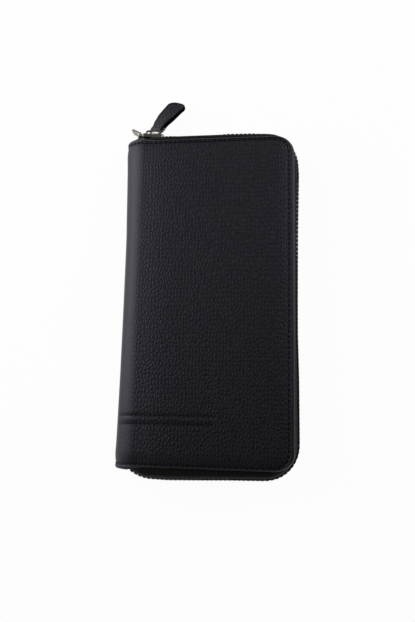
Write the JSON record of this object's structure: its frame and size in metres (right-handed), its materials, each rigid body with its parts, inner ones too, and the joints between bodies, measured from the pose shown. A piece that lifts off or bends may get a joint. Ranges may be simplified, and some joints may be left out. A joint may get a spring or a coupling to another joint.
{
  "type": "long wallet",
  "caption": "Long leather wallet that zips round three sides, with a round spine, stepped card layers, a zipped coin leaf, pleated end gussets and a leather pull tab on a metal ring.",
  "frame": {"origin": "centre of the back cover's outer face, on which the closed wallet lies", "axes": "+X from the spine to the free edge, +Y along the spine towards the closed slider, +Z from the back cover to the front cover"},
  "size_m": [0.1049, 0.2351, 0.024],
  "materials": {
    "outer_leather": "pebbled, semi-matt",
    "inner_leather": "fine grain, matt",
    "lining": "plain weave",
    "fibre_board": "pressed fibre board",
    "zip_tape": "woven tape",
    "black_teeth": "black, satin",
    "antique_nickel": "antique nickel"
  },
  "bodies": {
    "back": {"back_cover": "outer_leather", "back_board": "fibre_board", "back_lining": "lining", "back_card_1": "inner_leather", "back_card_2": "inner_leather", "back_card_3": "inner_leather", "back_card_4": "inner_leather", "back_zip_tape": "zip_tape", "back_zip_teeth": "black_teeth", "zip_end_clip": "antique_nickel", "zip_end_stop": "antique_nickel"},
    "front": {"front_cover": "outer_leather", "front_board": "fibre_board", "front_lining": "lining", "front_card_1": "inner_leather", "front_card_2": "inner_leather", "front_card_3": "inner_leather", "front_card_4": "inner_leather", "front_zip_tape": "zip_tape", "front_zip_teeth": "black_teeth"},
    "leaf": {"spine_leather": "outer_leather", "spine_stiffener": "fibre_board", "spine_lining": "lining", "top_gusset": "lining", "bottom_gusset": "lining", "leaf_front_wall": "inner_leather", "leaf_back_wall": "inner_leather", "leaf_binding": "inner_leather", "leaf_strip": "lining", "coin_tape_inner": "zip_tape", "coin_tape_outer": "zip_tape", "coin_teeth_inner": "antique_nickel", "coin_teeth_outer": "antique_nickel"},
    "slider": {"slider_body": "antique_nickel", "slider_bail": "antique_nickel"},
    "ring": {"pull_ring": "antique_nickel"},
    "tab": {"pull_tab": "outer_leather"},
    "coin_runner": {"coin_slider": "antique_nickel"},
    "coin_tongue": {"coin_pull": "antique_nickel"}
  },
  "joints": [
    {"name": "cover_open", "type": "hinge", "parent": "back", "child": "front", "pos_m": [-0.0511, 0, 0.012], "axis": [0, -1, 0], "range_deg": [0, 60], "deforming": ["spine_leather", "spine_stiffener", "spine_lining", "top_gusset", "bottom_gusset"]},
    {"name": "leaf_turn", "type": "hinge", "parent": "back", "child": "leaf", "pos_m": [-0.0511, 0, 0.012], "axis": [0, -1, 0], "range_deg": [0, 30]},
    {"name": "slider_travel", "type": "slide", "parent": "back", "child": "slider", "axis": [1, 0, 0], "range_m": [0, 0.06], "deforming": ["front_zip_teeth", "back_zip_teeth"]},
    {"name": "ring_swing", "type": "hinge", "parent": "slider", "child": "ring", "pos_m": [-0.036, 0.10695, 0.012], "axis": [0.8048, -0.3776, 0.458], "range_deg": [0, 45]},
    {"name": "tab_swing", "type": "hinge", "parent": "ring", "child": "tab", "pos_m": [-0.03317, 0.11151, 0.01079], "axis": [0.8048, -0.3776, 0.458], "range_deg": [-12, 90]},
    {"name": "coin_travel", "type": "slide", "parent": "leaf", "child": "coin_runner", "axis": [0, -1, 0], "range_m": [0, 0.128], "deforming": ["coin_teeth_inner", "coin_teeth_outer"]},
    {"name": "coin_pull_swing", "type": "hinge", "parent": "coin_runner", "child": "coin_tongue", "pos_m": [0.02, 0.0647, 0.01545], "axis": [-1, 0, 0], "range_deg": [0, 12]}
  ],
  "couplings": [
    {"joint": "leaf_turn", "follows": "cover_open", "ratio": 0.5}
  ]
}
